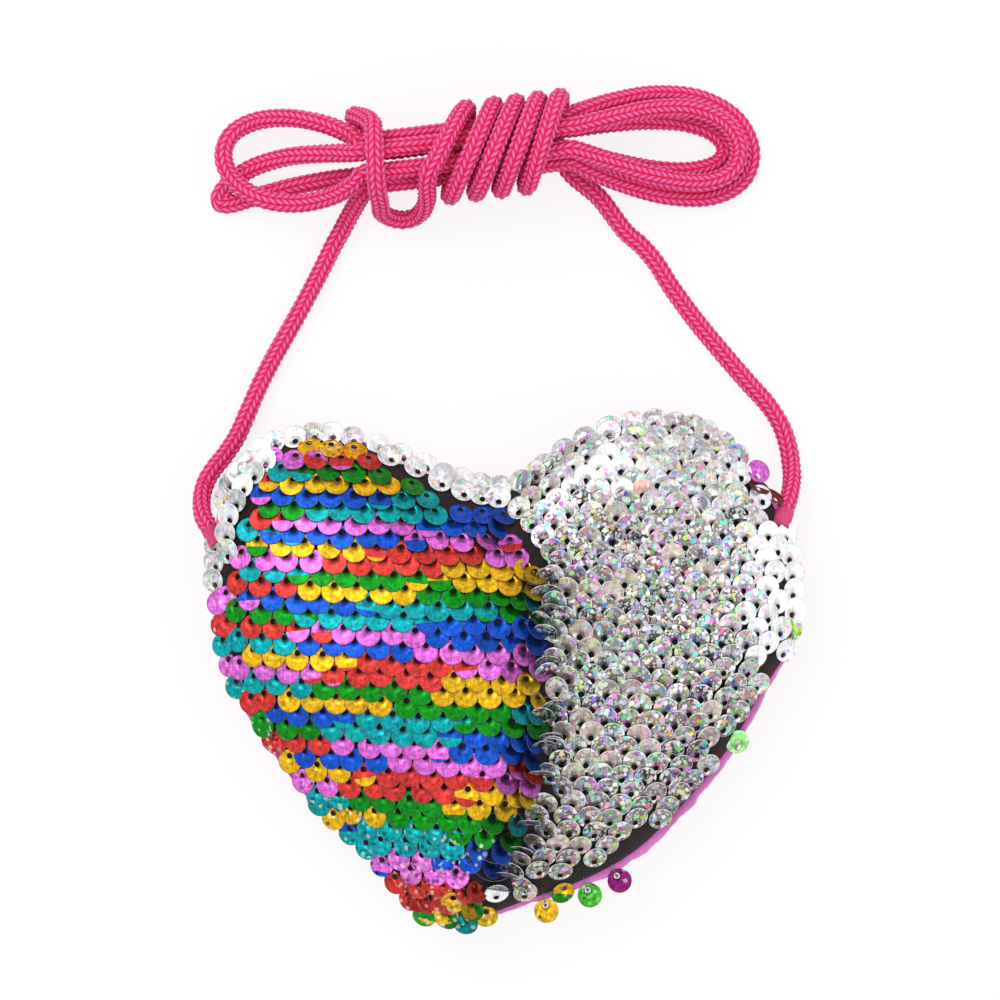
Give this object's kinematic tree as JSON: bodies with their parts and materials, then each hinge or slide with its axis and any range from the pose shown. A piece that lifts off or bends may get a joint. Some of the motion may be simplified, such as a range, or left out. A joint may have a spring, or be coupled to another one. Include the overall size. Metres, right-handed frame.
{
  "type": "heart shaped purse",
  "caption": "Small heart shaped purse with flip sequins on a padded front, a zipped pocket in the back, and a knitted cord strap wound into a hank.",
  "frame": {"origin": "middle of the heart on the surface that its back rests on", "axes": "+X to the right lobe across both lobes, +Y from the tip to the lobes, +Z out of the sequinned front"},
  "size_m": [0.1285, 0.1769, 0.0261],
  "materials": {
    "mesh_fabric": "matt black mesh over a padded face",
    "satin": "smooth pink satin",
    "foam": "soft foam",
    "lining": "thin woven lining",
    "tape": "woven zip tape",
    "zip_plastic": "moulded teeth",
    "zip_metal": "plated",
    "cord": "knitted cord",
    "whipping": "tight thread winding",
    "sequin_red": "foil film",
    "sequin_gold": "foil film",
    "sequin_green": "foil film",
    "sequin_teal": "foil film",
    "sequin_blue": "foil film",
    "sequin_orchid": "foil film",
    "sequin_silver": "holographic foil film",
    "sequin_purple": "foil film",
    "clear_thread": "clear monofilament"
  },
  "bodies": {
    "purse": {"front_panel": "mesh_fabric", "front_foam": "foam", "front_lining": "lining", "back_panel": "satin", "back_foam": "foam", "back_lining": "lining", "seam_binding": "whipping", "zip_welt": "satin", "zip_tape_upper": "tape", "zip_tape_lower": "tape", "zip_teeth_upper": "zip_plastic", "zip_teeth_lower": "zip_plastic", "zip_bottom_stop": "zip_metal", "zip_top_stops": "zip_metal", "zip_end_tabs": "tape", "strap_end_left": "whipping", "strap_end_right": "whipping", "strap_left": "cord", "strap_hank": "cord", "strap_right": "cord", "sequins_red": "sequin_red", "sequins_gold": "sequin_gold", "sequins_green": "sequin_green", "sequins_teal": "sequin_teal", "sequins_blue": "sequin_blue", "sequins_orchid": "sequin_orchid", "sequins_silver_upper": "sequin_silver", "sequins_silver_lower": "sequin_silver", "sequins_turned_band": "sequin_silver", "loose_threads": "clear_thread"},
    "zip_slider": {"zip_slider": "zip_metal"},
    "zip_pull": {"zip_pull": "zip_metal"},
    "loose_green": {"loose_sequin_green": "sequin_green"},
    "loose_purple": {"loose_sequin_purple": "sequin_purple"},
    "loose_gold": {"loose_sequin_gold": "sequin_gold"}
  },
  "joints": [
    {"name": "zip_slide", "type": "slide", "parent": "purse", "child": "zip_slider", "axis": [1, 0, 0], "range_m": [0, 0.054]},
    {"name": "pull_hinge", "type": "hinge", "parent": "zip_slider", "child": "zip_pull", "pos_m": [-0.03, 0.013, 0.00175], "axis": [0, 1, 0], "range_deg": [0, 150]},
    {"name": "loose_green_hinge", "type": "hinge", "parent": "purse", "child": "loose_green", "pos_m": [0.01751, -0.04562, 0.0099], "axis": [-0.9336, -0.3584, 0], "range_deg": [0, 110]},
    {"name": "loose_purple_hinge", "type": "hinge", "parent": "purse", "child": "loose_purple", "pos_m": [0.02363, -0.04263, 0.0099], "axis": [-0.8746, -0.4848, 0], "range_deg": [0, 110]},
    {"name": "loose_gold_hinge", "type": "hinge", "parent": "purse", "child": "loose_gold", "pos_m": [0.00861, -0.04884, 0.0099], "axis": [-0.9848, -0.1736, 0], "range_deg": [0, 110]}
  ]
}
